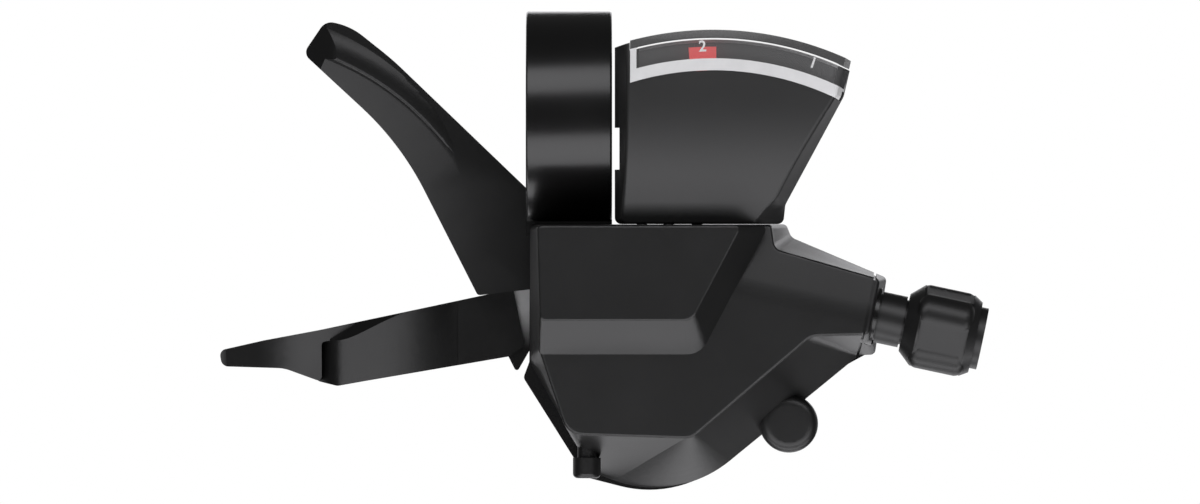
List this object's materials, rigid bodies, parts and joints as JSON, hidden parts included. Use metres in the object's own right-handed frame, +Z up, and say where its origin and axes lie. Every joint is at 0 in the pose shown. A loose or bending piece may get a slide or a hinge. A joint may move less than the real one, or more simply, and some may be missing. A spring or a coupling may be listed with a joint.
{
  "type": "trigger gear shifter",
  "caption": "Bicycle trigger gear shifter with a handlebar clamp, a thumb lever and a release lever, a window with a moving gear marker and a barrel adjuster for the cable.",
  "frame": {"origin": "middle of the handlebar clamp's bore", "axes": "+X along the handlebar towards the barrel adjuster, +Y away from the rider, +Z up in the rider's view"},
  "size_m": [0.1165, 0.0526, 0.0723],
  "materials": {
    "bracket_paint": "satin black paint",
    "black_steel": "black oxide",
    "cover_plastic": "satin",
    "cover_plastic_gloss": "satin",
    "lever_plastic": "satin",
    "knob_plastic": "satin",
    "clear_lens": "clear",
    "dial_print": "printed",
    "needle_red": "gloss",
    "spool_plastic": "moulded",
    "steel": "zinc plated",
    "spring_steel": "drawn wire",
    "aluminium": "turned"
  },
  "bodies": {
    "bracket": {"clamp_bracket": "bracket_paint", "clamp_bolt": "black_steel", "top_cover": "cover_plastic", "cable_hole_plug": "cover_plastic_gloss", "cover_screws": "steel", "display_housing": "cover_plastic", "display_screws": "steel", "display_lens": "clear_lens", "dial_plate": "dial_print", "needle_clip": "steel", "spool_axle": "steel", "spool_washer": "steel", "stop_pawl_pin": "steel", "spool_spring": "spring_steel", "thumb_spring": "spring_steel", "release_spring": "spring_steel", "stop_pawl_spring": "spring_steel", "adjuster_spring": "spring_steel"},
    "thumb_lever": {"thumb_plate": "steel", "thumb_cover": "lever_plastic", "lever_axle": "steel", "feed_crank": "steel", "feed_rivet": "steel", "lever_washer": "steel", "lever_nut": "steel"},
    "feed_pawl": {"feed_pawl": "steel"},
    "release_lever": {"release_lever": "lever_plastic"},
    "stop_pawl": {"stop_pawl": "steel"},
    "cable_spool": {"cable_spool": "spool_plastic", "ratchet_plate": "steel"},
    "indicator": {"indicator_needle": "needle_red"},
    "adjuster_sleeve": {"adjuster_sleeve": "knob_plastic"},
    "adjuster_knob": {"adjuster_knob": "knob_plastic", "adjuster_bolt": "aluminium"}
  },
  "joints": [
    {"name": "thumb_lever_turn", "type": "hinge", "parent": "bracket", "child": "thumb_lever", "pos_m": [0.0015, 0, -0.026], "axis": [0, 1, 0], "range_deg": [0, 40], "stiffness_Nm_per_rad": 0.2, "springref_deg": -28.65},
    {"name": "feed_pawl_turn", "type": "hinge", "parent": "thumb_lever", "child": "feed_pawl", "pos_m": [0.00577, 0, -0.02428], "axis": [0, 1, 0], "range_deg": [0, 8], "stiffness_Nm_per_rad": 0.005, "springref_deg": -17.19},
    {"name": "release_lever_turn", "type": "hinge", "parent": "bracket", "child": "release_lever", "pos_m": [0.0015, 0, -0.026], "axis": [0, -1, 0], "range_deg": [0, 12], "stiffness_Nm_per_rad": 0.2, "springref_deg": -22.92},
    {"name": "stop_pawl_turn", "type": "hinge", "parent": "bracket", "child": "stop_pawl", "pos_m": [0.025, 0, -0.023], "axis": [0, 1, 0], "range_deg": [0, 12]},
    {"name": "spool_turn", "type": "hinge", "parent": "bracket", "child": "cable_spool", "pos_m": [0.014, 0, -0.035], "axis": [0, 1, 0], "range_deg": [0, 32.73]},
    {"name": "indicator_turn", "type": "hinge", "parent": "bracket", "child": "indicator", "pos_m": [0.0217, 0, -0.0356], "axis": [0, 1, 0], "range_deg": [0, 21.1]},
    {"name": "adjuster_travel", "type": "slide", "parent": "bracket", "child": "adjuster_sleeve", "axis": [0.9781, 0, -0.2079], "range_m": [0, 0.004]},
    {"name": "adjuster_turn", "type": "hinge", "parent": "adjuster_sleeve", "child": "adjuster_knob", "pos_m": [0.05843, -0.01, -0.03269], "axis": [0.9781, 0, -0.2079], "range_deg": [0, 1800]}
  ],
  "couplings": [
    {"joint": "stop_pawl_turn", "follows": "release_lever_turn", "ratio": 0.95},
    {"joint": "indicator_turn", "follows": "spool_turn", "ratio": 0.64167},
    {"joint": "adjuster_turn", "follows": "adjuster_travel", "rad_per_m": 7854}
  ]
}
